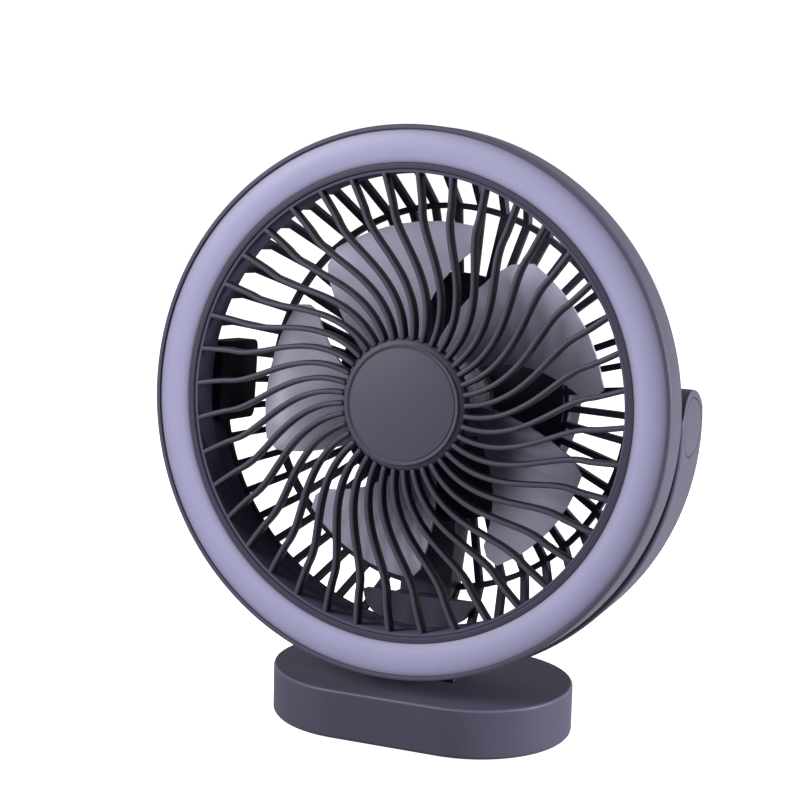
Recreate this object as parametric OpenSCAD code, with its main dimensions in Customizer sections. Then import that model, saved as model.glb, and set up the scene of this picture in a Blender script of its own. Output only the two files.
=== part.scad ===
// Portable camping fan with a light ring, a tilting head and a flat weighted base.
// Millimetres. The origin is on the ground under the middle of the base. The air blows
// towards -Y, +X is to the right as seen from there, and +Z is up.
// Pieces of the head are drawn lying on their back: x to the right, y up, and z = 0 at the
// rim with z = -depth behind it. in_head() stands them up on the pivot at the resting tilt.

/* [Stand] */
// Height of the neck between the base and the arm
neck_h = 3.4; // [3:0.1:19]
// Gap between the rim band and the bracket arm
rim_gap = 0.7; // [0.6:0.1:3.8]
// Backward tilt of the head at rest, in degrees
head_tilt = 5.9; // [0:0.1:30]
// Gap between the barrel and the bracket arm
arm_gap = 7.6; // [7.2:0.1:8.4]
// Thickness of the bracket arm
arm_t = 4.7; // [4:0.1:5]
// Width of the bracket arm, front to back
arm_w = 24.0; // [20:0.2:24.2]
// Radius of the arm's long edges
arm_edge = 1.2; // [0.4:0.1:1.8]
// Height of the arm's ends above the tilt axis
arm_top = 12.4; // [11:0.1:12.4]
// Radius of the corners of the arm's ends
arm_corner = 6.5; // [3:0.5:9]
// Width of the stem between arm and base
stem_w = 30; // [24:1:40]
// Depth of the stem, front to back
stem_d = 16; // [12:1:20]

/* [Base] */
// Length of the base
base_l = 107.6; // [100:0.2:130]
// Width of the base
base_w = 68.4; // [64:0.2:80]
// Height of the base, feet included
base_h = 17.8; // [17.2:0.1:18.2]
// Wall of the base shell
base_wall = 2.2; // [1.6:0.1:2.6]
// Radius of the base's top edge
base_edge = 1.0; // [0.4:0.1:1.6]
// Thickness of the bottom cover
floor_t = 2.0; // [1.8:0.1:2.4]
// Thickness of the rubber foot pad
pad_t = 1.4; // [1.2:0.1:1.8]
// Height of the pad below the base shell
pad_proud = 0.4; // [0.2:0.1:0.6]
// Thickness of the steel ballast plate
ballast_t = 4.0; // [3:0.2:4.6]

/* [Rim and light ring] */
// Radius of the front rim
rim_r = 92.5; // [91.8:0.1:93]
// Thickness of the rim wall
rim_w = 1.6; // [1.2:0.1:2]
// Depth of the rim band
band_d = 12.2; // [12:0.1:12.6]
// Width of the light ring
light_w = 11.0; // [10:0.1:12]
// Wall between the light ring and the grille opening
lip_w = 2.1; // [1.8:0.1:2.6]
// Depth of the light channel
channel_d = 6.5; // [6.1:0.1:7]
// Height of the diffuser's crown
crown = 0.9; // [0.3:0.1:1.4]
// Number of light-emitting chips
chip_count = 48; // [24:6:60]

/* [Front grille] */
// Number of curved bars
bar_count = 40; // [30:2:44]
// Width of a bar
bar_w = 1.8; // [1.4:0.1:2.2]
// Depth of a bar, front to back
bar_d = 4.4; // [3:0.2:5]
// How far the bars turn round the axis, in degrees
bar_sweep = 21.1; // [0:0.1:28]
// Radius where the bars straighten
bar_bend_r = 66; // [60:1:74]
// Depth of the bars' front edge
bar_front = 1.0; // [0.8:0.1:4]
// Radius of the hub cap
cap_r = 20.2; // [18:0.1:22]

/* [Rear grille] */
// Number of radial bars
rib_count = 48; // [36:4:56]
// Width of a radial bar
rib_w = 2.2; // [1.6:0.1:2.6]
// Wall of the barrel and thickness of the rear bars
shell_t = 2.2; // [1.8:0.1:2.4]
// Depth of the closed barrel below the pivots
barrel_d = 24; // [20:0.5:26]
// Depth where the bars start above the pivots
open_d = 13.4; // [13.2:0.1:15]
// Distance of the rear hoop inside the barrel
hoop_inset = 12; // [8.5:0.5:18.5]
// Depth of the rear hoop
hoop_d = 39; // [38.5:0.1:40]

/* [Battery housing] */
// Free space round the control board in the battery housing
pack_clear = 1.0; // [0.4:0.1:3.8]
// Depth of the battery housing's front plate
pack_front = 44.4; // [44:0.1:46]
// Clear depth for the cells
pack_d = 19.2; // [18.8:0.1:24]
// Wall of the battery housing
pack_wall = 1.8; // [1.4:0.1:2]
// Thickness of the rear cover
cover_t = 2.0; // [1.6:0.1:2.6]
// Radius of a battery cell
cell_r = 9.2; // [8:0.1:9.3]
// Length of a battery cell
cell_l = 65; // [50:1:65]

/* [Impeller and motor] */
// Radius of the blade tips
tip_r = 61; // [50:0.5:64]
// Number of blades
blade_count = 5; // [3:1:5]
// Thickness of a blade
blade_t = 1.4; // [1:0.1:2]
// Depth of the blades' front edge
blade_front = 14.2; // [13.8:0.1:16]
// Depth of the blades' back edge
blade_back = 29; // [26:0.5:33]
// Radius of the impeller hub
hub_r = 18.5; // [18:0.1:20]
// Depth of the hub's front face
hub_front = 18.6; // [17:0.1:20]
// Wall of the impeller hub
hub_wall = 1.6; // [1.2:0.1:1.8]
// Radius of the motor shaft
shaft_r = 1.5; // [1.2:0.1:2]
// Number of stator teeth
tooth_count = 9; // [6:3:12]

/* [Tilt pivot] */
// Radius of the pivot pins
pin_r = 4.9; // [4:0.1:5.5]
// Radius of the pivot caps
pivot_cap_r = 9.7; // [9:0.1:10.4]
// Height and width of the pivot boxes inside the barrel
boss_w = 28; // [24:0.5:28.5]
// How far the boxes stand into the barrel
boss_reach = 5; // [3.5:0.5:7.5]

/* [Buttons] */
// Radius of a button
button_r = 4.5; // [3.5:0.1:5]
// How far a button travels
button_travel = 0.6; // [0.3:0.1:0.7]
// Height of a button above the rear cover
button_proud = 1.0; // [0.8:0.1:1.6]

/* [Hidden] */
$fn = 96;
eps = 0.02;              // overlap of pieces of one solid
big = 120;               // more than any piece's reach
fit = 0.1;               // clearance of pieces that are fixed together
run = 0.05;              // radial clearance of a turning pin or shaft

shell_colour = [0.42, 0.40, 0.47];
dark_colour = [0.25, 0.24, 0.29];
light_colour = [0.68, 0.67, 0.82];
blade_colour = [0.56, 0.54, 0.62];
steel_colour = [0.70, 0.71, 0.73];
copper_colour = [0.72, 0.42, 0.22];
board_colour = [0.10, 0.35, 0.22];
rubber_colour = [0.12, 0.12, 0.13];

// Rim and light ring
light_out = rim_r - rim_w;
light_in = light_out - light_w;
open_r = light_in - lip_w;                 // radius of the grille opening
floor_d = 1.7;                             // thickness of the channel floor
channel_back = channel_d + floor_d;
lip_front = 0.6;                           // the lip stands behind the rim by this much
lip_back = 9.5;
seat_back = open_d - 1.4;                  // back of the front grille's ring
boss_front = seat_back + 0.4;                // front and back faces of the pivot boxes
boss_back = boss_front + 27;
board_d = 1.1;                             // thickness of the light board
board_margin = 1.5;                        // free strip on each side of the light board
skirt_w = 1.0;                             // legs of the diffuser

// Housing
barrel_r = open_r + 0.7;                   // inside of the barrel
hoop_r = barrel_r - hoop_inset;
boss_x = barrel_r - boss_reach;            // inner faces of the pivot boxes
seat_r = light_in + 0.2;                   // inside of the housing round the grille ring
flange_t = 1.8;                            // flange that closes the rim band
bezel_screw_r = (light_in + light_out) / 2 + 1;
bezel_screw_count = 6;

// Tilt pivot
arm_in = barrel_r + shell_t + arm_gap;
arm_r = arm_in + arm_t;
pivot_h = base_h + neck_h + arm_r;         // height of the tilt axis above the ground
pivot_back = band_d + rim_gap + arm_w / 2; // distance of the tilt axis behind the rim
swing_r = pivot_back - band_d - 0.3;       // the rim swings outside this circle
pad_x = arm_in - 0.8;                      // flat inner face of the arm's ends
washer_t = 0.8;
boss_out = pad_x - washer_t - 0.2;         // outer face of the head's pivot bosses
washer_r = pin_r + 4.2;
boss_floor = 1.6;                          // wall that closes the pin's bore
cap_t = 1.6;                               // thickness of the pivot caps
flange_r = pivot_cap_r - 1.5;              // head of the pivot pins

// Base
shell_bottom = pad_proud;
floor_top = shell_bottom + 0.2 + floor_t;
base_top_in = base_h - base_wall;          // underside of the base's top
post_r = 3.2;
post_x = base_l / 2 - 13.5;
post_y = base_w / 2 - 19;
screw_r = 1.4;
screw_head_r = 2.4;
clamp_t = 2.0;
stem_screw_x = stem_w / 2 - 5;
pad_margin = 12;                           // edge of the foot pad from the base's edge
ballast_side = 14;                         // free strip along the ballast's long sides
ballast_end = 24;                          // free strip at its ends

// Battery housing's radius, from the cells and the board under them
cell_y = cell_r + 0.4;
main_w = 34;
main_h = 14;
main_y = -(2 * cell_y + 1.2 + main_h / 2);
pack_in = norm([main_w / 2, main_h / 2 - main_y]) + pack_clear;
pack_r = pack_in + pack_wall;

// Rear grille
hoop_w = 2.0;
pack_lip = 0.8;                            // lip of the battery housing over the grille
pack_back = pack_front + pack_wall + pack_d;
cover_back = pack_back + cover_t;
ring_in = pack_r + fit;
ring_front = pack_front + 0.4;
ring_w = 2.2;
rib_out = shell_t + 0.6;                   // thickness of the rear bars

// Wire duct
duct_w = 19;
duct_front = hoop_d - 6;
box_w = 40;                                // lower box, where the wires turn to the rim
box_end_r = 9;
box_front = barrel_d + 1.2;
box_t = 4;                                 // depth of the box beside the duct
bowl_top = barrel_r - 10.5;                             // top of the lower box, below the axis
lead_r = 0.7;
lead_top = pack_r + 1.4;                   // upper end of the light's wires
lead_top_d = duct_front + 4.2;
lead_bottom = bowl_top + 2.5;
lead_bottom_d = duct_front + 1.8;
lead_run = norm([lead_bottom - lead_top, lead_top_d - lead_bottom_d]);
lead_slant = -atan2(lead_top_d - lead_bottom_d, lead_bottom - lead_top);

// Battery housing
cell_d = pack_front + pack_wall + 0.3 + cell_r;
pack_post_r = 3;
pack_post_x = 24;
pack_post_y = sqrt(pow(pack_in - pack_post_r + 0.4, 2) - pack_post_x * pack_post_x);
main_t = 1.6;
main_front = pack_back - 7.6;
main_back = main_front + main_t;
button_x = 13;
button_y = main_y;
lens_y = main_y + 5.4;
lens_pitch = 3.2;
lens_count = 4;
lens_r = 0.9;
usb_w = 8.9;
usb_h = 3.2;
usb_wall = 0.3;
tongue_w = 6.4;
tongue_t = 0.7;
switch_w = 4.5;
switch_t = 2.0;
button_back = pack_back - 1.2;             // underside of the buttons' flanges
plunger_gap = 0.15;                        // switch plunger to a button pressed home

// Impeller and motor
blade_turn = 29.3;                          // where the first blade's tip is centred
tip_span = 51;                             // how far a blade reaches round at its tip
lead_slope = 0.967;                        // how the back edge sweeps, degrees a millimetre
trail_slope = 0.444;                       // how the front edge sweeps
lead_corner = 9.8;                         // degrees that the tip's back corner is cut back
trail_corner = 3;                          // and its front corner
hub_back = blade_back + 2;                 // back of the hub's skirt
rotor_back = pack_front - 5;               // open end of the rotor cup
rotor_r = hub_r - hub_wall - 0.2;
rotor_wall = 0.9;
magnet_t = 1.4;
magnet_r = rotor_r - rotor_wall;
air_gap = 0.5;
stator_r = magnet_r - magnet_t - air_gap;
leg_r = 1.0;                               // legs under the motor's board
leg_h = 1.8;
stator_front = hub_front + 7.2;
stator_back = stator_front + 10.6;
tube_r = 5.4;
bearing_r = 4.0;
bearing_w = 4.0;
bearing_front = stator_front - 1.2;
bearing_back = pack_front - 1.6;
base_plate_t = 2.4;
base_plate_r = 16.5;
motor_screw_r = 12;                        // distance of the motor's screws from the axis
motor_shank_r = 0.9;
motor_head_r = 1.8;
motor_head_t = 1.0;
motor_head_d = pack_front + pack_wall - motor_head_t - 0.1;
tooth_w = 2.4;
shoe_t = 1.2;
coil_w = 3.6;
yoke_r = tube_r + fit + 2.5;               // ring that joins the stator's teeth
shaft_front = hub_front - 2.2;
shaft_end = pack_front + 1.2;
clip_t = 0.5;

// Front grille
grille_hub_r = cap_r + 2.2;
bar_root = grille_hub_r - 0.8;
bar_start = 4.3;                              // a bar's angle at its root, in degrees
bar_drift = 0.15;                             // degrees a millimetre beyond the bend

// ---------- helpers ----------

// Stands a head piece up on the pivot at the resting tilt.
module in_head() {
    translate([0, 0, pivot_h])
        rotate([90 - head_tilt, 0, 0])
            translate([0, 0, pivot_back])
                children();
}

// Puts a piece at the tilt axis on both sides; it is drawn pointing out along +x.
module at_pivots() {
    translate([0, 0, pivot_h])
        for (side = [0, 1])
            mirror([side, 0, 0])
                children();
}

// Ring round the z axis between two depths behind the rim.
module ring(r_out, r_in, front, back) {
    translate([0, 0, -back])
        difference() {
            cylinder(r = r_out, h = back - front);
            translate([0, 0, -1])
                cylinder(r = r_in, h = back - front + 2);
        }
}

// Disc round the z axis between two depths behind the rim.
module disc(r, front, back) {
    translate([0, 0, -back])
        cylinder(r = r, h = back - front);
}

// Everything behind the rim that lies above or below height y.
module above(y) {
    translate([-big, y, -big])
        cube([2 * big, big, big]);
}

module below(y) {
    translate([-big, y - big, -big])
        cube([2 * big, big, big]);
}

// Solid turned from [radius, depth] points.
module turned(points) {
    rotate_extrude()
        polygon([for (p = points) [p[0], -p[1]]]);
}

// Copies a piece round the z axis.
module around(count, start = 0) {
    for (i = [0 : count - 1])
        rotate([0, 0, start + i * 360 / count])
            children();
}

// Upright slab with rounded ends: length along x, width along y, and an outline
// of [distance in from the edge, height] points that is turned round both ends.
module stadium(length, width, outline) {
    r = width / 2;
    half = [for (p = outline) [r - p[0], p[1]]];
    for (side = [0, 1])
        mirror([side, 0, 0])
            translate([length / 2 - r, 0, 0])
                rotate_extrude()
                    polygon(concat([[0, outline[0][1]]], half, [[0, outline[len(outline) - 1][1]]]));
    rotate([90, 0, 90])
        translate([0, 0, -(length / 2 - r)])
            linear_extrude(length - 2 * r)
                polygon(concat(half, [for (i = [len(half) - 1 : -1 : 0]) [-half[i][0], half[i][1]]]));
}

function slab(bottom, top) = [[0, bottom], [0, top]];

// Quarter round from an edge [inset, height]: inwards and up.
function top_round(radius, top, steps = 5) =
    [for (i = [0 : steps]) [radius * (1 - cos(90 * i / steps)), top - radius * (1 - sin(90 * i / steps))]];

module screw(head_r, head_t, shank_r, shank_l) {
    difference() {
        union() {
            cylinder(r = head_r, h = head_t);
            translate([0, 0, -shank_l])
                cylinder(r = shank_r, h = shank_l + eps);
        }
        translate([0, 0, head_t - 0.5])
            for (turn = [0, 90])
                rotate([0, 0, turn])
                    cube([1.2 * head_r, 0.5, 1.2], center = true);
    }
}

// ---------- base ----------

module base_shell() {
    color(shell_colour)
        difference() {
            union() {
                difference() {
                    stadium(base_l, base_w, concat([[0.8, shell_bottom], [0, shell_bottom + 1]],
                        top_round(base_edge, base_h)));
                    stadium(base_l - 2 * base_wall, base_w - 2 * base_wall, slab(-1, base_top_in));
                }
                base_posts(post_r, floor_top + fit, base_top_in + eps);
            }
            base_posts(screw_r - 0.3, floor_top - 1, base_top_in - 1);
            translate([0, 0, base_h - base_wall / 2])
                cube([stem_w + 2 * fit, stem_d + 2 * fit, base_wall + 2], center = true);
        }
}

module base_posts(r, bottom, top) {
    for (x = [-post_x, post_x], y = [-post_y, post_y])
        translate([x, y, bottom])
            cylinder(r = r, h = top - bottom);
}

module base_bottom_cover() {
    inset = base_wall + fit;
    color(dark_colour)
        difference() {
            stadium(base_l - 2 * inset, base_w - 2 * inset, slab(shell_bottom + 0.2, floor_top));
            stadium(base_l - 2 * pad_margin, base_w - 2 * pad_margin, slab(-1, pad_t));
            base_posts(screw_r + fit, -1, base_h / 2);
            base_posts(screw_head_r + fit, -1, shell_bottom + 1.4);
        }
}

module foot_pad() {
    inset = pad_margin + fit;
    color(rubber_colour)
        stadium(base_l - 2 * inset, base_w - 2 * inset, slab(0, pad_t));
}

module ballast_plate() {
    color(steel_colour)
        stadium(base_l - 2 * ballast_end, base_w - 2 * ballast_side,
            slab(floor_top, floor_top + ballast_t));
}

module base_screws() {
    color(steel_colour)
        for (x = [-post_x, post_x], y = [-post_y, post_y])
            translate([x, y, shell_bottom + 1.4])
                rotate([180, 0, 0])
                    screw(screw_head_r, 1.1, screw_r - 0.3 - eps, 8);
}

// ---------- bracket ----------

module arm_outline() {
    half = arm_w / 2;
    e = arm_edge;
    polygon(concat(
        [[arm_in, -half], [arm_in, half]],
        [for (i = [6 : -1 : 0]) [arm_r - e + e * cos(90 * i / 6), half - e + e * sin(90 * i / 6)]],
        [for (i = [0 : 6]) [arm_r - e + e * cos(-90 * i / 6), e - half + e * sin(-90 * i / 6)]]));
}

module bracket_arm() {
    color(shell_colour)
        difference() {
            union() {
                intersection() {
                    translate([0, 0, pivot_h])
                        rotate([90, 0, 0])
                            rotate_extrude()
                                arm_outline();
                    union() {
                        translate([-2 * arm_r, -arm_w, pivot_h - 2 * arm_r])
                            cube([4 * arm_r, 2 * arm_w, 2 * arm_r]);
                        translate([-2 * arm_r, 0, pivot_h])
                            rotate([0, 90, 0])
                                linear_extrude(4 * arm_r)
                                    intersection() {
                                        rounded_rect(2 * arm_top, arm_w, arm_corner);
                                        circle(r = swing_r);
                                    }
                    }
                }
                at_pivots()
                    translate([pad_x, 0, 0])
                        rotate([0, 90, 0])
                            cylinder(r = washer_r, h = arm_in - pad_x + 2);
                translate([-stem_w / 2, -stem_d / 2, base_top_in])
                    cube([stem_w, stem_d, pivot_h - arm_r + 1 - base_top_in]);
            }
            at_pivots() {
                translate([pad_x - 1, 0, 0])
                    rotate([0, 90, 0])
                        cylinder(r = pin_r + fit, h = 20);
                translate([arm_r - cap_t - 1.6, 0, 0])
                    rotate([0, 90, 0])
                        cylinder(r = flange_r + fit, h = 20);
                translate([arm_r - cap_t - 0.2, 0, 0])
                    rotate([0, 90, 0])
                        cylinder(r = pivot_cap_r + 0.2, h = 20);
            }
            for (x = [-stem_screw_x, stem_screw_x])
                translate([x, 0, base_top_in - 1])
                    cylinder(r = screw_r - 0.3, h = 5);
        }
}

module clamp_plate() {
    color(steel_colour)
        difference() {
            translate([-stem_w / 2 - 7, -stem_d / 2 - 4, base_top_in - clamp_t])
                cube([stem_w + 14, stem_d + 8, clamp_t]);
            for (x = [-stem_screw_x, stem_screw_x])
                translate([x, 0, 0])
                    cylinder(r = screw_r + fit, h = base_h);
        }
}

module bracket_screws() {
    color(steel_colour)
        for (x = [-stem_screw_x, stem_screw_x])
            translate([x, 0, base_top_in - clamp_t])
                rotate([180, 0, 0])
                    screw(2.6, 1.5, screw_r - 0.3 - eps, 5.5);
}

module pivot_pins() {
    tip = boss_x + boss_floor + 0.4;
    color(steel_colour)
        at_pivots()
            rotate([0, 90, 0]) {
                difference() {
                    union() {
                        translate([0, 0, tip])
                            cylinder(r = pin_r, h = arm_r - cap_t - 1.6 - tip + eps);
                        translate([0, 0, arm_r - cap_t - 1.6])
                            cylinder(r = flange_r, h = 1.3);
                    }
                    translate([0, 0, tip - 1])
                        cylinder(r = pin_r - 2, h = arm_r);
                }
            }
}

module pivot_washers() {
    color(dark_colour)
        at_pivots()
            rotate([0, 90, 0])
                translate([0, 0, pad_x - washer_t])
                    difference() {
                        cylinder(r = washer_r, h = washer_t);
                        translate([0, 0, -1])
                            cylinder(r = pin_r + fit, h = washer_t + 2);
                    }
}

module pivot_caps() {
    color(shell_colour)
        intersection() {
            at_pivots()
                translate([arm_r - cap_t - 0.2, 0, 0])
                    rotate([0, 90, 0])
                        cylinder(r = pivot_cap_r, h = 10);
            translate([0, 0, pivot_h])
                rotate([90, 0, 0])
                    rotate_extrude($fn = 480)
                        translate([arm_in, -arm_w / 2])
                            square([arm_t, arm_w]);
        }
}

// ---------- rim and light ring ----------

module bezel_posts(r, front, back) {
    around(bezel_screw_count, 30)
        translate([bezel_screw_r, 0, 0])
            disc(r, front, back);
}

module front_bezel() {
    flange_front = band_d - flange_t;
    color(shell_colour)
        in_head()
            difference() {
                union() {
                    turned([
                        [light_out, 0], [rim_r - 0.4, 0], [rim_r, 0.4], [rim_r, band_d],
                        [light_out, band_d], [light_out, channel_back], [light_in, channel_back],
                        [light_in, lip_back], [open_r, lip_back], [open_r, lip_front + 0.3],
                        [open_r + 0.3, lip_front], [light_in, lip_front], [light_in, channel_d],
                        [light_out, channel_d]
                    ]);
                    bezel_posts(2.6, channel_back - eps, flange_front);
                }
                bezel_posts(1.1, channel_d + 0.8, band_d);
            }
}

module led_diffuser() {
    inner = light_in + fit;
    outer = light_out - fit;
    steps = 10;
    edge = 0.8;
    color(light_colour)
        in_head()
            turned(concat(
                [for (i = [0 : steps])
                    [inner + (outer - inner) * i / steps, edge - crown * sin(180 * i / steps)]],
                [[outer, channel_d], [outer - skirt_w, channel_d], [outer - skirt_w, edge + 1.4],
                 [inner + skirt_w, edge + 1.4], [inner + skirt_w, channel_d], [inner, channel_d]]));
}

module led_board() {
    color(board_colour)
        in_head()
            ring(light_out - board_margin, light_in + board_margin, channel_d - board_d, channel_d);
}

module led_chips() {
    color("lightyellow")
        in_head()
            around(chip_count)
                translate([(light_in + light_out) / 2 - 1.4, -1.4, -(channel_d - board_d)])
                    cube([2.8, 2.8, 0.8]);
}

// ---------- front grille ----------

// Angle of a bar's middle line at radius r, and how fast it turns there.
function bar_share(r) = min(1, max(0, (r - bar_root) / (bar_bend_r - bar_root)));
function bar_angle(r) = let (u = bar_share(r)) bar_start + bar_sweep * u * u * (3 - 2 * u)
    + bar_drift * max(0, r - bar_bend_r);
function bar_rate(r) = let (u = bar_share(r)) bar_sweep * 6 * u * (1 - u) / (bar_bend_r - bar_root)
    + (r > bar_bend_r ? bar_drift : 0);
function bar_half(r) = let (slope = r * bar_rate(r) * PI / 180)
    (bar_w / 2) * sqrt(1 + slope * slope) / r * 180 / PI;
function bar_point(r, side) = let (a = bar_angle(r) + side * bar_half(r)) [r * cos(a), r * sin(a)];

module bar_outline(r_in, r_out, steps = 12) {
    radii = [for (i = [0 : steps]) r_in + (r_out - r_in) * i / steps];
    polygon(concat(
        [for (r = radii) bar_point(r, -1)],
        [for (i = [steps : -1 : 0]) bar_point(radii[i], 1)]));
}

module front_grille() {
    outer = open_r - fit;
    bar_back = bar_front + bar_d;
    color(shell_colour)
        in_head() {
            intersection() {
                translate([0, 0, -20])
                    linear_extrude(20)
                        around(bar_count)
                            bar_outline(bar_root, outer - 0.4);
                ring(outer + 1, bar_root - 1, bar_front, bar_back);
            }
            ring(outer, open_r - 1, bar_front + 0.2, seat_back);
            ring(light_in, outer - 0.4, lip_back, seat_back);
            turned([
                [0, 2.4], [cap_r - 0.8, 2.4], [cap_r - 0.8, 1.2], [cap_r + 0.3, 1.2],
                [grille_hub_r, bar_front + 1.4], [grille_hub_r, bar_back + 0.2],
                [grille_hub_r - 2, bar_back + 0.2], [grille_hub_r - 2, 4.4], [0, 4.4]
            ]);
        }
}

module hub_cap() {
    color(shell_colour)
        in_head()
            turned([
                [0, 0.5], [cap_r - 1.6, 0.5], [cap_r - 1.4, 0.2], [cap_r - 0.4, 0.2], [cap_r, 0.6],
                [cap_r, 1.2], [cap_r - 0.8 - fit, 1.2], [cap_r - 0.8 - fit, 2.4], [0, 2.4]
            ]);
}

// ---------- housing ----------

// Box with rounded corners that holds a pivot pin: x from inner to outer.
module pivot_box(inner, outer, gap, radius) {
    front = pivot_back - boss_front + gap;
    back = boss_back - pivot_back + gap;
    translate([inner, 0, -pivot_back])
        rotate([0, 90, 0])
            linear_extrude(outer - inner)
                translate([(back - front) / 2, 0])
                    rounded_rect(front + back, boss_w + 2 * gap, radius);
}

module rounded_rect(length, width, radius) {
    reach_x = length / 2 - radius;
    reach_y = width / 2 - radius;
    square([length, 2 * reach_y], center = true);
    square([2 * reach_x, width], center = true);
    for (x = [-reach_x, reach_x], y = [-reach_y, reach_y])
        translate([x, y])
            circle(r = radius);
}

module rear_housing() {
    outer = barrel_r + shell_t;
    sleeve = seat_r + shell_t - 0.3;
    color(shell_colour)
        in_head()
            difference() {
                union() {
                    ring(sleeve, seat_r, channel_back + fit, seat_back);
                    ring(light_out - fit, seat_r, band_d - flange_t, band_d);
                    ring(sleeve, barrel_r, seat_back, open_d);
                    intersection() {
                        ring(outer, barrel_r, open_d - eps, barrel_d);
                        below(0);
                    }
                    for (side = [0, 1])
                        mirror([side, 0, 0]) {
                            pivot_box(boss_x, outer - 0.4, 0, 3);
                            translate([outer - 2, 0, -pivot_back])
                                rotate([0, 90, 0])
                                    cylinder(r = washer_r + 1.2, h = boss_out - outer + 2);
                        }
                }
                disc(seat_r, 0, seat_back);
                for (side = [0, 1])
                    mirror([side, 0, 0])
                        translate([boss_x + boss_floor, 0, -pivot_back])
                            rotate([0, 90, 0])
                                cylinder(r = pin_r + run, h = 40);
                bezel_posts(1.2, 0, band_d + 1);
                bezel_posts(2.3, band_d - 1.1, band_d + 1);
            }
}

module bezel_screws() {
    color(steel_colour)
        in_head()
            around(bezel_screw_count, 30)
                translate([bezel_screw_r, 0, -(band_d - 1.1)])
                    rotate([180, 0, 0])
                        screw(2.1, 1.0, 1.1 - eps, band_d - 1.1 - channel_d - 1);
}

// ---------- rear grille ----------

// Depth of the rear bars' outer face at radius r, outside the hoop.
function back_depth(r) = hoop_d + rib_out
    - (hoop_d + rib_out - barrel_d - 1) * (r - hoop_r - 1) / (barrel_r + rib_out - hoop_r - 1);

module bowl_shell() {
    turned([
        [barrel_r, open_d], [barrel_r, barrel_d], [hoop_r, hoop_d],
        [ring_in, ring_front], [ring_in, ring_front + rib_out],
        [hoop_r + 1, hoop_d + rib_out], [barrel_r + rib_out, barrel_d + 1],
        [barrel_r + rib_out, open_d]
    ]);
}

module rib_slabs(front, back) {
    reach = barrel_r + rib_out + 1;
    translate([0, 0, -back])
        around(rib_count)
            translate([ring_in + 1, -rib_w / 2, 0])
                cube([reach - ring_in - 1, rib_w, back - front]);
}

module rear_grille() {
    reach = barrel_r + rib_out + 0.3;
    bars_from_y = boss_w / 2 + 1;              // above this the bars reach forward to the rim
    color(shell_colour)
        in_head()
            difference() {
                union() {
                    difference() {
                        intersection() {
                            rib_slabs(open_d + 0.5, cover_back);
                            bowl_shell();
                        }
                        translate([-big, bars_from_y - big, -(barrel_d + 0.9)])
                            cube([2 * big, big, big]);
                    }
                    intersection() {
                        ring(reach, barrel_r + 0.4, open_d + fit, open_d + 1);
                        above(bars_from_y);
                    }
                    intersection() {
                        ring(reach, barrel_r - 1, barrel_d + fit, barrel_d + 1.8);
                        below(-boss_w / 2);
                    }
                    ring(hoop_r + hoop_w / 2, hoop_r - hoop_w / 2, hoop_d, hoop_d + rib_out);
                    ring(ring_in + ring_w, ring_in, ring_front, ring_front + 3.6);
                }
                for (side = [0, 1])
                    mirror([side, 0, 0])
                        pivot_box(boss_x - fit, 2 * rim_r, fit, 3);
                duct_body(fit, 0);
            }
}

// The wire duct with its lower box, as far back as the rear cover.
module duct_body(grow, front) {
    half = duct_w / 2 + grow;
    top = pack_r + pack_lip + 0.3 - grow;
    translate([0, 0, -cover_back]) {
        linear_extrude(cover_back - front * duct_front)
            translate([-half, -bowl_top - 4])
                square([2 * half, bowl_top + 4 - top]);
        linear_extrude(cover_back - front * box_front)
            intersection() {
                box_plan(grow);
                square([2 * half, 2 * big], center = true);
            }
    }
    translate([0, 0, -box_front - box_t - grow])
        linear_extrude(box_t + grow + (1 - front) * box_front)
            box_plan(grow);
}

// The lower box: flat on top, round at its ends and closed by the barrel.
module box_plan(grow) {
    reach = box_w / 2 - box_end_r;
    intersection() {
        union() {
            translate([-reach, -barrel_r - grow])
                square([2 * reach, barrel_r - bowl_top + 2 * grow]);
            for (x = [-reach, reach])
                translate([x, -bowl_top])
                    circle(r = box_end_r + grow);
        }
        translate([-box_w, -bowl_top - box_w])
            square([2 * box_w, box_w + grow]);
        circle(r = barrel_r - fit + grow);
    }
}

// Everything in front of the rear bars' outer face.
module bowl_space() {
    edge = barrel_r - fit;
    turned([
        [0, 0], [edge, 0], [edge, back_depth(edge)], [hoop_r + 1, hoop_d + rib_out],
        [ring_in, ring_front + rib_out], [0, ring_front + rib_out]
    ]);
}

module wire_duct() {
    color(dark_colour)
        in_head()
            difference() {
                intersection() {
                    duct_body(0, 1);
                    bowl_space();
                }
                lead_way(3.6);
            }
}

// Slanting way for the light's two wires, from the battery housing to the lower box.
module lead_way(width) {
    translate([0, -lead_top, -lead_top_d])
        rotate([lead_slant, 0, 0])
            translate([-width / 2, -lead_run, -width / 4])
                cube([width, lead_run, width / 2]);
}

module led_lead() {
    color("white")
        in_head()
            for (x = [-lead_r - 0.05, lead_r + 0.05])
                translate([x, -lead_top, -lead_top_d])
                    rotate([90 + lead_slant, 0, 0])
                        translate([0, 0, 0.5])
                            cylinder(r = lead_r, h = lead_run - 1);
}

// ---------- battery housing ----------

module pack_posts(r, front, back) {
    for (x = [-pack_post_x, pack_post_x], y = [-pack_post_y, pack_post_y])
        translate([x, y, 0])
            disc(r, front, back);
}

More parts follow.
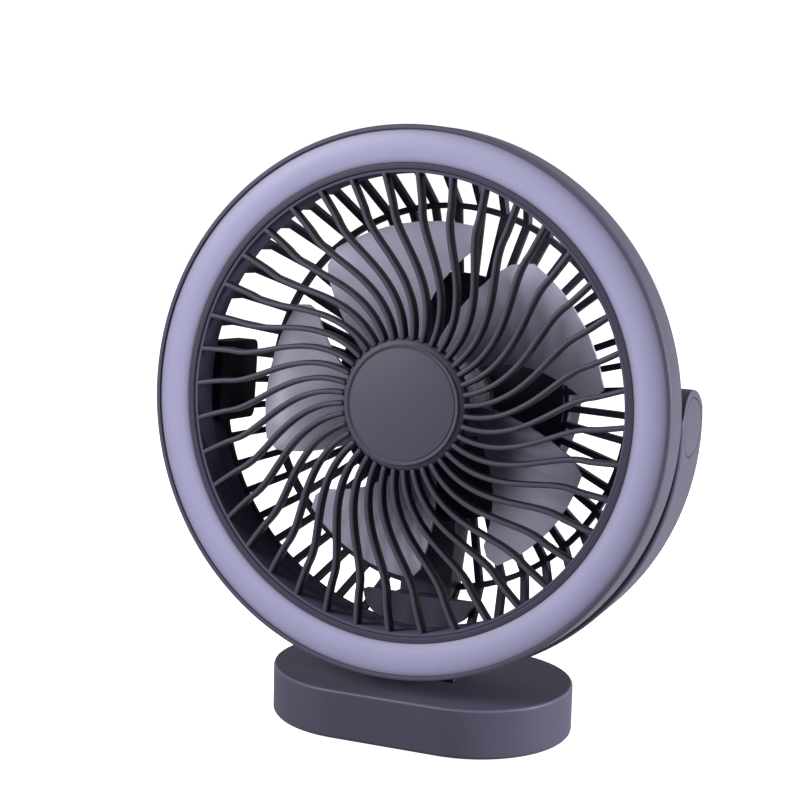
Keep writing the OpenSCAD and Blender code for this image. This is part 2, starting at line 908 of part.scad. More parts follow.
module battery_housing() {
    color(shell_colour)
        in_head()
            difference() {
                union() {
                    turned([
                        [0, pack_front - pack_lip], [pack_r + pack_lip, pack_front - pack_lip],
                        [pack_r + pack_lip, ring_front - fit], [pack_r, ring_front - fit],
                        [pack_r, pack_back], [pack_in, pack_back],
                        [pack_in, pack_front + pack_wall], [0, pack_front + pack_wall]
                    ]);
                    pack_posts(pack_post_r, pack_front + pack_wall - eps, pack_back - fit);
                    for (x = [-main_w / 2 + 3, main_w / 2 - 3])
                        translate([x, main_y, 0])
                            disc(2, pack_front + pack_wall - eps, main_front);
                }
                pack_posts(screw_r - 0.4, pack_front + 4, pack_back + 1);
                disc(4.6, pack_front - 2, pack_front + pack_wall + 1);
                around(3)
                    translate([motor_screw_r, 0, 0]) {
                        disc(motor_shank_r + fit, 0, cover_back);
                        disc(motor_head_r + fit, motor_head_d, cover_back);
                    }
            }
}

module battery_cells() {
    color("royalblue")
        in_head()
            for (y = [-cell_y, cell_y])
                translate([-cell_l / 2, y, -cell_d])
                    rotate([0, 90, 0])
                        cylinder(r = cell_r, h = cell_l);
}

module cell_tabs() {
    tab = 7;
    color(steel_colour)
        in_head()
            for (x = [-cell_l / 2 - 0.4, cell_l / 2])
                translate([x, -cell_y - tab / 2, -cell_d - tab / 2])
                    cube([0.4, 2 * cell_y + tab, tab]);
}

module main_board() {
    color(board_colour)
        in_head()
            translate([-main_w / 2, main_y - main_h / 2, -main_back])
                cube([main_w, main_h, main_t]);
}

module usb_c_port() {
    out = cover_back - 0.4;
    color(steel_colour)
        in_head()
            translate([0, main_y, -out])
                difference() {
                    linear_extrude(out - main_back)
                        slot_plan(usb_w, usb_h);
                    translate([0, 0, -1])
                        linear_extrude(out - main_back)
                            slot_plan(usb_w - 2 * usb_wall, usb_h - 2 * usb_wall);
                }
    color(dark_colour)
        in_head()
            translate([-tongue_w / 2, main_y - tongue_t / 2, -out + 0.8])
                cube([tongue_w, tongue_t, out - main_back - 0.8]);
}

// Slot with round ends, length along x.
module slot_plan(length, width) {
    square([length - width, width], center = true);
    for (x = [-(length - width) / 2, (length - width) / 2])
        translate([x, 0])
            circle(r = width / 2);
}

module button_switches() {
    color(dark_colour)
        in_head()
            for (x = [-button_x, button_x])
                translate([x, button_y, 0]) {
                    translate([-switch_w / 2, -switch_w / 2, -(main_back + switch_t)])
                        cube([switch_w, switch_w, switch_t]);
                    disc(1.2, main_back + switch_t - eps, button_back - button_travel - plunger_gap);
                }
}

module indicator_lens() {
    length = (lens_count - 1) * lens_pitch;
    color("white")
        in_head() {
            for (i = [0 : lens_count - 1])
                translate([i * lens_pitch - length / 2, lens_y, 0])
                    disc(lens_r, pack_back - 1.2 - eps, cover_back);
            translate([-length / 2 - 1.5, lens_y - 1.2, -(pack_back - 1.2)])
                cube([length + 3, 2.4, 1.0]);
        }
}

module rear_cover() {
    skirt_out = pack_in - fit;
    steps = 5;
    round_r = cover_t;
    color(shell_colour)
        in_head()
            difference() {
                union() {
                    turned(concat(
                        [[0, pack_back + eps], [pack_r, pack_back + eps]],
                        [for (i = [0 : steps]) [pack_r - round_r * (1 - cos(90 * i / steps)),
                            cover_back - round_r * (1 - sin(90 * i / steps))]],
                        [[0, cover_back]]));
                    intersection() {
                        ring(skirt_out, skirt_out - 1.2, pack_back - 2, pack_back + 1);
                        translate([-pack_post_x + 5, -big, -big])
                            cube([2 * pack_post_x - 10, 2 * big, big]);
                    }
                }
                pack_posts(screw_r + fit, pack_back - 1, cover_back + 1);
                pack_posts(screw_head_r + fit, cover_back - 1.2, cover_back + 1);
                for (x = [-button_x, button_x])
                    translate([x, button_y, 0])
                        disc(button_r + 0.15, pack_back - 1, cover_back + 1);
                translate([0, main_y, -cover_back - 1])
                    linear_extrude(cover_t + 3)
                        slot_plan(usb_w + 0.4, usb_h + 0.4);
                for (i = [0 : lens_count - 1])
                    translate([(i - (lens_count - 1) / 2) * lens_pitch, lens_y, 0])
                        disc(lens_r + fit, pack_back - 1, cover_back + 1);
            }
}

module rear_cover_screws() {
    color(steel_colour)
        in_head()
            for (x = [-pack_post_x, pack_post_x], y = [-pack_post_y, pack_post_y])
                translate([x, y, -(cover_back - 1.2)])
                    rotate([180, 0, 0])
                        screw(screw_head_r, 1.0, screw_r - 0.4 - eps, 9);
}

// A button: the cap stands out of the rear cover, the flange keeps it in.
module button(x) {
    flange = 1.0;
    color(light_colour)
        in_head()
            translate([x, button_y, 0]) {
                disc(button_r, button_back + flange / 2, cover_back + button_proud);
                disc(button_r + 0.8, button_back, button_back + flange);
            }
}

module fan_button() {
    button(-button_x);
}

module light_button() {
    button(button_x);
}

// ---------- motor ----------

module motor_base() {
    plate_back = pack_front - pack_lip;
    color(steel_colour)
        in_head()
            difference() {
                union() {
                    disc(base_plate_r, plate_back - base_plate_t, plate_back);
                    disc(tube_r, bearing_front, plate_back);
                }
                disc(bearing_r + fit, bearing_front - 1, bearing_front + bearing_w + fit);
                disc(bearing_r + fit, bearing_back - bearing_w - fit, plate_back + 1);
                disc(shaft_r + 1, 0, cover_back);
                around(3)
                    translate([motor_screw_r, 0, 0])
                        disc(motor_shank_r, 0, cover_back);
            }
}

module motor_screws() {
    color(steel_colour)
        in_head()
            around(3)
                translate([motor_screw_r, 0, -motor_head_d])
                    rotate([180, 0, 0])
                        screw(motor_head_r, motor_head_t, motor_shank_r - eps, 3.6);
}

module bearings() {
    color(steel_colour)
        in_head() {
            ring(bearing_r, shaft_r + run, bearing_front, bearing_front + bearing_w);
            ring(bearing_r, shaft_r + run, bearing_back - bearing_w, bearing_back);
        }
}

module stator_core() {
    color(steel_colour)
        in_head()
            translate([0, 0, -stator_back])
                difference() {
                    intersection() {
                        union() {
                            cylinder(r = yoke_r, h = stator_back - stator_front);
                            around(tooth_count, 180 / tooth_count)
                                translate([yoke_r - 1, -tooth_w / 2, 0])
                                    cube([stator_r - yoke_r + 2, tooth_w, stator_back - stator_front]);
                            around(tooth_count, 180 / tooth_count)
                                translate([stator_r - shoe_t, -shoe_w() / 2, 0])
                                    cube([shoe_t + 1, shoe_w(), stator_back - stator_front]);
                        }
                        cylinder(r = stator_r, h = stator_back - stator_front);
                    }
                    translate([0, 0, -1])
                        cylinder(r = tube_r + fit, h = stator_back);
                }
}

function shoe_w() = 2 * (stator_r - shoe_t) * tan(180 / tooth_count) - 1.6;

module stator_coils() {
    inner = yoke_r + 0.5;
    length = stator_r - shoe_t - 0.4 - inner;
    end = 1.1;                  // how far a coil stands past the core
    color(copper_colour)
        in_head()
            around(tooth_count, 180 / tooth_count)
                translate([inner, 0, -stator_back - end])
                    difference() {
                        translate([0, -coil_w / 2, 0])
                            cube([length, coil_w, stator_back - stator_front + 2 * end]);
                        translate([-1, -tooth_w / 2 - fit, end - fit])
                            cube([length + 2, tooth_w + 2 * fit, stator_back - stator_front + 2 * fit]);
                    }
}

module motor_board() {
    color(board_colour)
        in_head() {
            ring(stator_r - 2, tube_r + fit, stator_back + leg_h, stator_back + leg_h + 1);
            around(3, 60)
                translate([tube_r + leg_r + 0.35, 0, 0])
                    disc(leg_r, stator_back + fit / 2, stator_back + leg_h + 0.2);
        }
}

// ---------- impeller ----------

function lead_angle(r) = blade_turn - tip_span / 2 - 5.2 + (tip_r - r) * lead_slope
    + lead_corner * pow(max(0, (r - tip_r + 8) / 8), 1.5);
function trail_angle(r) = blade_turn + tip_span / 2 + 2 + (tip_r - r) * trail_slope
    - trail_corner * pow(max(0, (r - tip_r + 5) / 5), 2);

// Point of a blade: share s runs from the front edge to the back edge.
function blade_point(r, s, lift) = let (
    a = trail_angle(r) + (lead_angle(r) - trail_angle(r)) * s,
    round_front = 5 * pow(max(0, (r - tip_r + 9) / 9), 2) * pow(1 - s, 2),
    d = blade_front + round_front + (blade_back - blade_front) * (s + 0.12 * sin(180 * s)))
    [r * cos(a), r * sin(a), -d - lift];

module blade() {
    across = 8;
    along = 11;
    n = along + 1;
    m = across + 1;
    root = hub_r - hub_wall / 2;
    grid = [for (side = [0, 1], i = [0 : along], j = [0 : across])
        blade_point(root + (tip_r - root) * i / along, j / across, side * blade_t)];
    function at(side, i, j) = side * n * m + i * m + j;
    polyhedron(grid, concat(
        [for (i = [0 : along - 1], j = [0 : across - 1])
            [at(0, i + 1, j + 1), at(0, i, j + 1), at(0, i, j)]],
        [for (i = [0 : along - 1], j = [0 : across - 1])
            [at(0, i + 1, j), at(0, i + 1, j + 1), at(0, i, j)]],
        [for (i = [0 : along - 1], j = [0 : across - 1])
            [at(1, i, j + 1), at(1, i + 1, j + 1), at(1, i, j)]],
        [for (i = [0 : along - 1], j = [0 : across - 1])
            [at(1, i + 1, j + 1), at(1, i + 1, j), at(1, i, j)]],
        [for (i = [0 : along - 1]) [at(1, i, 0), at(1, i + 1, 0), at(0, i + 1, 0), at(0, i, 0)]],
        [for (i = [0 : along - 1])
            [at(0, i + 1, across), at(1, i + 1, across), at(1, i, across), at(0, i, across)]],
        [for (j = [0 : across - 1]) [at(0, 0, j + 1), at(1, 0, j + 1), at(1, 0, j), at(0, 0, j)]],
        [for (j = [0 : across - 1])
            [at(1, along, j), at(1, along, j + 1), at(0, along, j + 1), at(0, along, j)]]));
}

module impeller() {
    color(blade_colour)
        in_head() {
            difference() {
                union() {
                    turned([
                        [0, hub_front], [hub_r - 3, hub_front], [hub_r, hub_front + 2],
                        [hub_r, hub_back], [hub_r - hub_wall, hub_back],
                        [hub_r - hub_wall, hub_front + 3], [0, hub_front + 3]
                    ]);
                    disc(4, hub_front - 0.6, hub_front + 3);
                }
                disc(shaft_r, 0, hub_front + 10);
            }
            around(blade_count)
                blade();
        }
}

module rotor_cup() {
    front = hub_front + 3;
    color(steel_colour)
        in_head()
            difference() {
                turned([
                    [0, front], [rotor_r, front], [rotor_r, rotor_back],
                    [magnet_r, rotor_back], [magnet_r, front + 1], [0, front + 1]
                ]);
                disc(shaft_r, 0, hub_front + 10);
            }
}

module rotor_magnets() {
    front = hub_front + 5;
    color(dark_colour)
        in_head()
            ring(magnet_r - eps, magnet_r - magnet_t, front, rotor_back - 1);
}

module motor_shaft() {
    color(steel_colour)
        in_head()
            difference() {
                disc(shaft_r, shaft_front, shaft_end);
                ring(shaft_r + 1, shaft_r - 0.4, clip_front(), clip_front() + clip_t);
            }
}

function clip_front() = pack_front + 0.3;

module shaft_clip() {
    color(steel_colour)
        in_head()
            ring(shaft_r + 1.3, shaft_r - 0.4 + eps, clip_front() + eps, clip_front() + clip_t - eps);
}

base_shell();
base_bottom_cover();
foot_pad();
ballast_plate();
base_screws();
bracket_arm();
clamp_plate();
bracket_screws();
pivot_pins();
pivot_washers();
pivot_caps();
front_bezel();
led_diffuser();
led_board();
led_chips();
front_grille();
hub_cap();
rear_housing();
bezel_screws();
rear_grille();
wire_duct();
led_lead();
battery_housing();
battery_cells();
cell_tabs();
main_board();
usb_c_port();
button_switches();
indicator_lens();
rear_cover();
rear_cover_screws();
motor_base();
motor_screws();
stator_core();
stator_coils();
motor_board();
bearings();
impeller();
rotor_cup();
rotor_magnets();
motor_shaft();
shaft_clip();
fan_button();
light_button();
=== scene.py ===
from math import cos, pi, radians, sin

import bpy
from mathutils import Matrix, Vector


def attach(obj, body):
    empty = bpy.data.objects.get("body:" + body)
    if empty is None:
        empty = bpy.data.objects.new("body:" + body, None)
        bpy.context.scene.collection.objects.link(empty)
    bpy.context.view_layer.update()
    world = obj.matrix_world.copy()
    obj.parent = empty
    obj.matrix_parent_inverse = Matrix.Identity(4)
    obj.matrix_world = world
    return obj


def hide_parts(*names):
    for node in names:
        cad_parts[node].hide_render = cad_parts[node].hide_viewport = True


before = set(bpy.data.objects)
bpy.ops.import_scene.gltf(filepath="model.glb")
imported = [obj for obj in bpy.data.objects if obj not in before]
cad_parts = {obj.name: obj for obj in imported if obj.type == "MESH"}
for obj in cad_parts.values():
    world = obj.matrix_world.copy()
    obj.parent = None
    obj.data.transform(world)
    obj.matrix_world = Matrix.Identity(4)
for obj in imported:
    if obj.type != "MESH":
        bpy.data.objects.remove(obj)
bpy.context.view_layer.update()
mm = 0.001

# The head leans back on its pivot. Its pieces are drawn lying down: x to the right,
# y up, and z = -depth behind the rim, all in millimetres.
head = {"pivotHeight": 114.2, "pivotDepth": 24.9, "tilt": 5.9}


# ---- tools for making pieces

def deselectAll():
    if bpy.context.object and bpy.context.object.mode != "OBJECT":
        bpy.ops.object.mode_set(mode="OBJECT")
    bpy.ops.object.select_all(action="DESELECT")


def pick(*pieces):
    deselectAll()
    for piece in pieces:
        piece.select_set(True)
    bpy.context.view_layer.objects.active = pieces[0]


def editAll(piece):
    pick(piece)
    bpy.ops.object.mode_set(mode="EDIT")
    bpy.ops.mesh.select_all(action="SELECT")


def leaveEdit():
    bpy.ops.object.mode_set(mode="OBJECT")


def nameIt(piece, name):
    piece.name = name
    piece.data.name = name
    return piece


def cleanUp(piece, distance=0.004):
    # merge what meets, then turn all faces outwards
    editAll(piece)
    bpy.ops.mesh.remove_doubles(threshold=distance * mm)
    bpy.ops.mesh.normals_make_consistent(inside=False)
    leaveEdit()
    return piece


def addModifier(piece, kind, **settings):
    pick(piece)
    modifier = piece.modifiers.new(kind.title(), kind)
    for key, value in settings.items():
        setattr(modifier, key, value)
    bpy.ops.object.modifier_apply(modifier=modifier.name)
    return piece


def softenEdges(piece, width, segments=3, angle=30):
    return addModifier(piece, "BEVEL", width=width * mm, segments=segments,
                       limit_method="ANGLE", angle_limit=radians(angle), miter_outer="MITER_ARC")


def smoothPiece(piece, angle=32):
    pick(piece)
    bpy.ops.object.shade_smooth_by_angle(angle=radians(angle))
    return piece


def joinPieces(name, pieces):
    pick(*pieces)
    if len(pieces) > 1:
        bpy.ops.object.join()
    return nameIt(bpy.context.object, name)


def drawPath(name, points):
    # one vertex, extruded from point to point
    deselectAll()
    bpy.ops.mesh.primitive_plane_add(size=mm)
    piece = nameIt(bpy.context.object, name)
    bpy.ops.object.mode_set(mode="EDIT")
    bpy.ops.mesh.select_all(action="SELECT")
    bpy.ops.mesh.merge(type="CENTER")
    bpy.ops.transform.translate(value=Vector(points[0]) * mm)
    for here, there in zip(points, points[1:]):
        step = (Vector(there) - Vector(here)) * mm
        bpy.ops.mesh.extrude_vertices_move(TRANSFORM_OT_translate={"value": step})
    return piece


def spinRound(name, points, steps=180):
    # turns a closed profile of [radius, depth] points right round the axis
    profile = [(r, 0, -depth) for r, depth in points]
    piece = drawPath(name, profile + [profile[0]])
    bpy.ops.mesh.select_all(action="SELECT")
    bpy.ops.mesh.spin(steps=steps, angle=2 * pi, center=(0, 0, 0), axis=(0, 0, 1))
    leaveEdit()
    return cleanUp(piece, 0.002)


def repeatRound(piece, count):
    # copies everything in the mesh round the axis
    editAll(piece)
    bpy.ops.mesh.spin(steps=count - 1, angle=2 * pi * (count - 1) / count, dupli=True,
                      center=(0, 0, 0), axis=(0, 0, 1))
    leaveEdit()
    return piece


def bakePlace(piece, matrix):
    piece.matrix_world = matrix @ piece.matrix_world
    pick(piece)
    bpy.ops.object.transform_apply(location=True, rotation=True, scale=True)
    return piece


def standUp(piece):
    # a head piece goes onto the pivot at the resting tilt
    return bakePlace(piece, Matrix.Translation((0, 0, head["pivotHeight"] * mm))
                     @ Matrix.Rotation(radians(90 - head["tilt"]), 4, "X")
                     @ Matrix.Translation((0, 0, head["pivotDepth"] * mm)))


def copyOfNode(name, node, edge):
    # a copy of a construction node, merged, with its sharp edges softened and its flats kept flat
    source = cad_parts[node]
    piece = source.copy()
    piece.data = source.data.copy()
    for key in list(piece.keys()):
        del piece[key]
    bpy.context.scene.collection.objects.link(piece)
    piece.parent = None
    nameIt(piece, name)
    piece.hide_render = piece.hide_viewport = False
    cleanUp(piece, 0.003)
    editAll(piece)
    bpy.ops.mesh.dissolve_limited(angle_limit=radians(0.6))
    leaveEdit()
    if edge:
        softenEdges(piece, edge, 2, 35)
    return addModifier(smoothPiece(piece), "WEIGHTED_NORMAL", keep_sharp=True)


def finishPiece(piece, body, material, nodes):
    piece.data.materials.clear()
    piece.data.materials.append(material)
    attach(piece, body)
    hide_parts(*nodes)
    print("made", piece.name)


def facesWhere(piece, test):
    return [face.index for face in piece.data.polygons if test(face)]


def paintFaces(piece, material, indices):
    # gives some of a finished piece's faces a material of their own
    piece.data.materials.append(material)
    for index in indices:
        piece.data.polygons[index].material_index = len(piece.data.materials) - 1


# ---- finishes

def newFinish(name):
    material = bpy.data.materials.new(name)
    material.use_nodes = True
    tree = material.node_tree
    shader = tree.nodes["Principled BSDF"]
    place = tree.nodes.new("ShaderNodeTexCoord")
    return material, tree, shader, place.outputs["Object"]


def addNoise(tree, place, scale, detail=2.0, roughness=0.5):
    noise = tree.nodes.new("ShaderNodeTexNoise")
    noise.inputs["Scale"].default_value = scale
    noise.inputs["Detail"].default_value = detail
    noise.inputs["Roughness"].default_value = roughness
    tree.links.new(place, noise.inputs["Vector"])
    return noise.outputs["Fac"]


def addRamp(tree, value, low, high, spread=(0.35, 0.65)):
    ramp = tree.nodes.new("ShaderNodeValToRGB")
    ramp.color_ramp.elements[0].position = spread[0]
    ramp.color_ramp.elements[1].position = spread[1]
    ramp.color_ramp.elements[0].color = (*low, 1)
    ramp.color_ramp.elements[1].color = (*high, 1)
    tree.links.new(value, ramp.inputs["Fac"])
    return ramp.outputs["Color"]


def addRange(tree, value, low, high):
    spread = tree.nodes.new("ShaderNodeMapRange")
    spread.inputs["From Min"].default_value = 0.3
    spread.inputs["From Max"].default_value = 0.7
    spread.inputs["To Min"].default_value = low
    spread.inputs["To Max"].default_value = high
    tree.links.new(value, spread.inputs["Value"])
    return spread.outputs["Result"]


def addBump(tree, shader, height, strength, depth):
    bump = tree.nodes.new("ShaderNodeBump")
    bump.inputs["Strength"].default_value = strength
    bump.inputs["Distance"].default_value = depth * mm
    tree.links.new(height, bump.inputs["Height"])
    tree.links.new(bump.outputs["Normal"], shader.inputs["Normal"])


def lieDown(tree, vector, kind):
    # turns object coordinates or directions into those of the head lying down
    lying = tree.nodes.new("ShaderNodeMapping")
    lying.vector_type = "TEXTURE"
    lying.inputs["Rotation"].default_value = (radians(90 - head["tilt"]), 0, 0)
    if kind == "place":
        lying.inputs["Location"].default_value = (0, 0, head["pivotHeight"] * mm)
    tree.links.new(vector, lying.inputs["Vector"])
    return lying.outputs["Vector"]


def timesGrey(tree, colour, grey):
    mix = tree.nodes.new("ShaderNodeMix")
    mix.data_type = "RGBA"
    mix.blend_type = "MULTIPLY"
    mix.inputs["Factor"].default_value = 1.0
    tree.links.new(colour, mix.inputs["A"])
    tree.links.new(grey, mix.inputs["B"])
    return mix.outputs["Result"]


def addSideShade(tree, colour, level):
    # painted shade: the colour goes down to this level where the surface turns away from the head's front
    normal = tree.nodes.new("ShaderNodeTexCoord").outputs["Normal"]
    split = tree.nodes.new("ShaderNodeSeparateXYZ")
    tree.links.new(lieDown(tree, normal, "direction"), split.inputs["Vector"])
    ramp = tree.nodes.new("ShaderNodeValToRGB")
    for element, (at, grey) in zip(ramp.color_ramp.elements, [(0.15, level), (0.85, 1.0)]):
        element.position = at
        element.color = (grey, grey, grey, 1)
    tree.links.new(split.outputs["Z"], ramp.inputs["Fac"])
    return timesGrey(tree, colour, ramp.outputs["Color"])


def addPaintedRadialShade(tree, place, colour, stops):
    # painted shade: darkens a colour by the distance from the head's axis, in millimetres
    flat = tree.nodes.new("ShaderNodeVectorMath")
    flat.operation = "MULTIPLY"
    flat.inputs[1].default_value = (1, 1, 0)
    length = tree.nodes.new("ShaderNodeVectorMath")
    length.operation = "LENGTH"
    share = tree.nodes.new("ShaderNodeMapRange")
    share.inputs["From Min"].default_value = stops[0][0] * mm
    share.inputs["From Max"].default_value = stops[-1][0] * mm
    ramp = tree.nodes.new("ShaderNodeValToRGB")
    while len(ramp.color_ramp.elements) < len(stops):
        ramp.color_ramp.elements.new(0.5)
    for element, (r, level) in zip(ramp.color_ramp.elements, stops):
        element.position = (r - stops[0][0]) / (stops[-1][0] - stops[0][0])
        element.color = (level, level, level, 1)
    tree.links.new(lieDown(tree, place, "place"), flat.inputs[0])
    tree.links.new(flat.outputs["Vector"], length.inputs[0])
    tree.links.new(length.outputs["Value"], share.inputs["Value"])
    tree.links.new(share.outputs["Result"], ramp.inputs["Fac"])
    return timesGrey(tree, colour, ramp.outputs["Color"])


def mouldedPlastic(name, look):
    # satin moulded plastic: faint cloudiness in the colour, fine grain in the surface, and painted shade by
    # radius or by facing where a look asks for it
    material, tree, shader, place = newFinish(name)
    cloud = addNoise(tree, place, look["cloudScale"], 3)
    tone = look["colour"]
    vary = look["vary"]
    colour = addRamp(tree, cloud, [c * (1 - vary) for c in tone], [c * (1 + vary) for c in tone])
    if "paintedRadialShade" in look:
        colour = addPaintedRadialShade(tree, place, colour, look["paintedRadialShade"])
    if "side" in look:
        colour = addSideShade(tree, colour, look["side"])
    tree.links.new(colour, shader.inputs["Base Color"])
    grain = addNoise(tree, place, look["grainScale"], 2, 0.6)
    tree.links.new(addRange(tree, grain, look["roughness"] - 0.04, look["roughness"] + 0.04),
                   shader.inputs["Roughness"])
    addBump(tree, shader, grain, look["grain"], 0.02)
    shader.inputs["Specular IOR Level"].default_value = look.get("specular", 0.5)
    shader.inputs["Coat Weight"].default_value = look.get("coat", 0.0)
    shader.inputs["Coat Roughness"].default_value = 0.25
    shader.inputs["Subsurface Weight"].default_value = look.get("milky", 0.0)
    shader.inputs["Subsurface Radius"].default_value = (0.004, 0.004, 0.005)
    shader.inputs["Subsurface Scale"].default_value = 1.0
    return material


def metal(name, look):
    material, tree, shader, place = newFinish(name)
    streak = addNoise(tree, place, look["scale"], 4, 0.7)
    tone = look["colour"]
    tree.links.new(addRamp(tree, streak, [c * 0.85 for c in tone], [min(1, c * 1.1) for c in tone]),
                   shader.inputs["Base Color"])
    tree.links.new(addRange(tree, streak, look["roughness"] - 0.07, look["roughness"] + 0.07),
                   shader.inputs["Roughness"])
    addBump(tree, shader, streak, 0.15, 0.02)
    shader.inputs["Metallic"].default_value = look["metallic"]
    return material


finishes = {
    "shell": {"colour": (0.078, 0.068, 0.108), "vary": 0.025, "cloudScale": 35, "grainScale": 2600,
              "grain": 0.10, "roughness": 0.5, "specular": 0.22},
    "base": {"colour": (0.074, 0.065, 0.104), "vary": 0.03, "cloudScale": 30, "grainScale": 2600,
             "grain": 0.10, "roughness": 0.55, "specular": 0.12},
    # painted highlight: a lighter copy of the base plastic for the base's upper edge
    "edge": {"colour": (0.100, 0.090, 0.138), "vary": 0.03, "cloudScale": 30, "grainScale": 2600,
             "grain": 0.05, "roughness": 0.45, "specular": 0.3},
    # the bars get painted shade on their sides, darker where they turn away from the front
    "bars": {"colour": (0.064, 0.056, 0.086), "vary": 0.03, "cloudScale": 40, "grainScale": 2600,
             "grain": 0.10, "roughness": 0.45, "specular": 0.18, "side": 0.32},
    "disc": {"colour": (0.078, 0.069, 0.104), "vary": 0.02, "cloudScale": 60, "grainScale": 2800,
             "grain": 0.06, "roughness": 0.5, "specular": 0.2},
    # painted light and shade: a duller, lighter copy of the shell plastic, tuned to how the inside of the
    # barrel is lit
    "inner": {"colour": (0.100, 0.088, 0.146), "vary": 0.04, "cloudScale": 40, "grainScale": 2200,
              "grain": 0.15, "roughness": 0.7, "specular": 0.02},
    # painted shade: a darker copy of the shell plastic for the rear grille
    "rear": {"colour": (0.055, 0.048, 0.077), "vary": 0.04, "cloudScale": 40, "grainScale": 2200,
             "grain": 0.15, "roughness": 0.6, "specular": 0.06},
    # painted shadow: a near-black plastic put where the photo shows only shade
    "paintedShadow": {"colour": (0.027, 0.024, 0.039), "vary": 0.05, "cloudScale": 50, "grainScale": 2400,
             "grain": 0.15, "roughness": 0.6, "specular": 0.08},
    # painted shade: a near-black plastic for the pivot boxes inside the barrel
    "paintedRecessShade": {"colour": (0.014, 0.012, 0.019), "vary": 0.05, "cloudScale": 50, "grainScale": 2400,
               "grain": 0.15, "roughness": 0.65, "specular": 0.03},
    # painted shade: a darker copy of the shell plastic for the lip round the grille
    "lip": {"colour": (0.055, 0.048, 0.078), "vary": 0.025, "cloudScale": 35, "grainScale": 2600,
            "grain": 0.10, "roughness": 0.5, "specular": 0.15},
    # painted shade: the blades are painted darker towards the hub
    "blade": {"colour": (0.50, 0.46, 0.62), "vary": 0.02, "cloudScale": 25, "grainScale": 3000,
              "grain": 0.05, "roughness": 0.4, "specular": 0.3,
              "paintedRadialShade": [(16.0, 0.32), (30.0, 0.56), (45.0, 0.86), (61.0, 1.0)]},
    # painted shade: the milky ring is painted darker towards its inner and outer edges
    "ring": {"colour": (0.384, 0.370, 0.576), "vary": 0.02, "cloudScale": 30, "grainScale": 3200,
             "grain": 0.03, "roughness": 0.42, "specular": 0.3, "milky": 0.3,
             "paintedRadialShade": [(79.9, 0.45), (80.9, 0.86), (82.3, 1.0), (84.5, 0.98), (87.2, 0.91), (88.8, 0.84),
                      (90.0, 0.72), (90.9, 0.58)]},
    "button": {"colour": (0.20, 0.19, 0.24), "vary": 0.02, "cloudScale": 60, "grainScale": 3000,
               "grain": 0.08, "roughness": 0.40},
    "dark": {"colour": (0.020, 0.019, 0.024), "vary": 0.05, "cloudScale": 50, "grainScale": 2400,
             "grain": 0.15, "roughness": 0.5},
    "rubber": {"colour": (0.018, 0.018, 0.020), "vary": 0.12, "cloudScale": 90, "grainScale": 1800,
               "grain": 0.35, "roughness": 0.78, "specular": 0.3},
    "lens": {"colour": (0.75, 0.75, 0.80), "vary": 0.03, "cloudScale": 80, "grainScale": 3000,
             "grain": 0.02, "roughness": 0.22, "coat": 0.5, "milky": 0.3},
    "board": {"colour": (0.010, 0.075, 0.035), "vary": 0.12, "cloudScale": 400, "grainScale": 1500,
              "grain": 0.2, "roughness": 0.35},
    "chip": {"colour": (0.75, 0.62, 0.20), "vary": 0.05, "cloudScale": 300, "grainScale": 2500,
             "grain": 0.1, "roughness": 0.4},
    "wire": {"colour": (0.70, 0.70, 0.68), "vary": 0.04, "cloudScale": 120, "grainScale": 2500,
             "grain": 0.1, "roughness": 0.4},
    "cell": {"colour": (0.02, 0.08, 0.30), "vary": 0.06, "cloudScale": 60, "grainScale": 1500,
             "grain": 0.1, "roughness": 0.3},
}
metals = {
    "steel": {"colour": (0.60, 0.60, 0.62), "roughness": 0.32, "scale": 500, "metallic": 1.0},
    "magnet": {"colour": (0.10, 0.10, 0.11), "roughness": 0.45, "scale": 700, "metallic": 0.8},
    "copper": {"colour": (0.70, 0.28, 0.12), "roughness": 0.35, "scale": 900, "metallic": 1.0},
}
paint = {name: mouldedPlastic(name + "Plastic", look) for name, look in finishes.items()}
paint.update({name: metal(name + "Metal", look) for name, look in metals.items()})
print("finishes ready")

# every construction node has a finish, because those that no piece replaces stay in sight
nodeFinish = {
    "shell": ["bracket_arm", "pivot_caps", "front_bezel", "rear_cover"],
    "base": ["base_shell"],
    "bars": ["front_grille", "hub_cap"],
    "rear": ["rear_grille"],
    "inner": ["rear_housing", "wire_duct"],
    "paintedShadow": ["battery_housing"],
    "blade": ["impeller"],
    "ring": ["led_diffuser"],
    "button": ["fan_button", "light_button"],
    "dark": ["base_bottom_cover", "pivot_washers", "button_switches"],
    "rubber": ["foot_pad"],
    "lens": ["indicator_lens"],
    "board": ["led_board", "main_board", "motor_board"],
    "chip": ["led_chips"],
    "wire": ["led_lead"],
    "cell": ["battery_cells"],
    "steel": ["ballast_plate", "base_screws", "clamp_plate", "bracket_screws", "pivot_pins",
              "bezel_screws", "cell_tabs", "usb_c_port", "rear_cover_screws", "motor_base",
              "motor_screws", "stator_core", "bearings", "rotor_cup", "motor_shaft", "shaft_clip"],
    "magnet": ["rotor_magnets"],
    "copper": ["stator_coils"],
}
for finish, names in nodeFinish.items():
    for node in names:
        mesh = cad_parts[node].data
        mesh.materials.clear()
        mesh.materials.append(paint[finish])


# ---- the rim: outer band, its front edge, and the lip round the grille

rim = {"outer": 92.5, "frontEdge": 0.5, "depth": 12.2, "ringOut": 90.9, "ringIn": 79.9,
       "opening": 77.8, "lipFront": 0.6, "lipEdge": 0.3, "lipBack": 9.5, "channel": 6.5,
       "channelBack": 8.2, "soft": 0.18}


